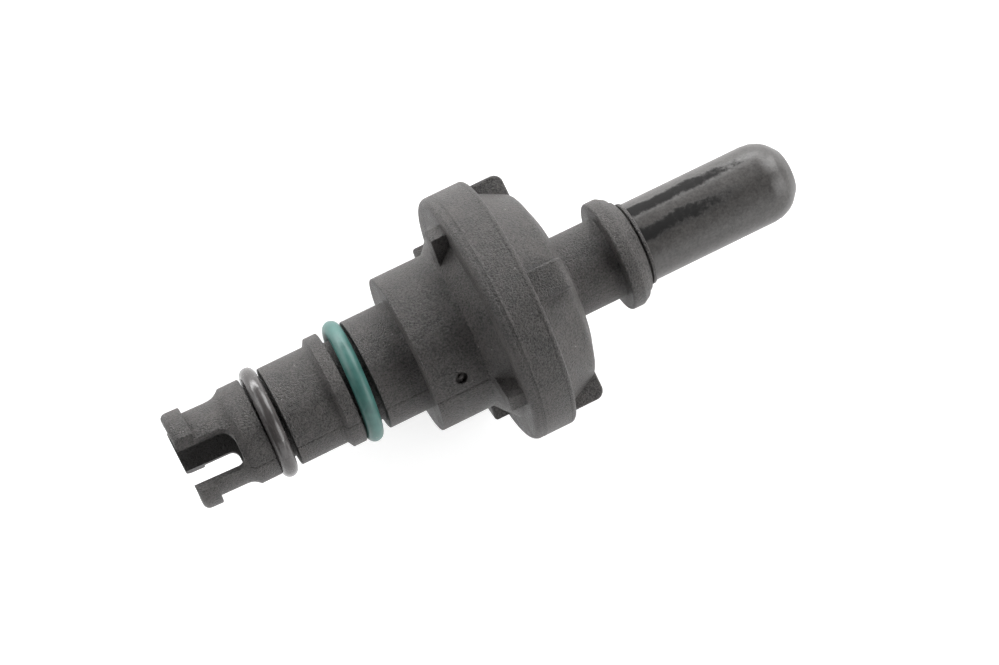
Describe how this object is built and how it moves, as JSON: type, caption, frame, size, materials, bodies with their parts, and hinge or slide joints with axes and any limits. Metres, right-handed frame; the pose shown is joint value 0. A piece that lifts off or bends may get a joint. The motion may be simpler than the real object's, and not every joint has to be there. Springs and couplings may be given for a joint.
{
  "type": "pcv valve",
  "caption": "Crankcase ventilation valve with a plug-in spigot, snap prongs, seal rings, a welded round body, a beaded hose nipple and a sprung plunger inside.",
  "frame": {"origin": "on the valve's axis, in the plane of the shoulder face that sits on the engine cover", "axes": "+X runs along the axis towards the hose nipple, the port spigot is on the -X side, +Y and +Z each point to one of the outlet cap's ribs"},
  "size_m": [0.0762, 0.0298, 0.0298],
  "materials": {
    "body_nylon": "moulded glass-filled nylon, dark charcoal, fine mottled grain",
    "cap_nylon": "moulded glass-filled nylon, dark charcoal, the nipple smoother and glossier",
    "grey_rubber": "smooth dark grey rubber, satin",
    "green_rubber": "smooth teal green rubber, satin",
    "ring_brass": "turned brass",
    "plunger_acetal": "natural acetal",
    "spring_steel": "stainless spring wire"
  },
  "bodies": {
    "housing": {"valve_body": "body_nylon", "outlet_cap": "cap_nylon", "metering_ring": "ring_brass", "return_spring": "spring_steel", "small_seal_ring": "grey_rubber", "large_seal_ring": "green_rubber"},
    "plunger": {"metering_plunger": "plunger_acetal"}
  },
  "joints": [
    {"name": "plunger_slide", "type": "slide", "parent": "housing", "child": "plunger", "axis": [1, 0, 0], "range_m": [0, 0.005], "stiffness_N_per_m": 80, "springref_m": -0.006, "deforming": ["return_spring"]}
  ]
}
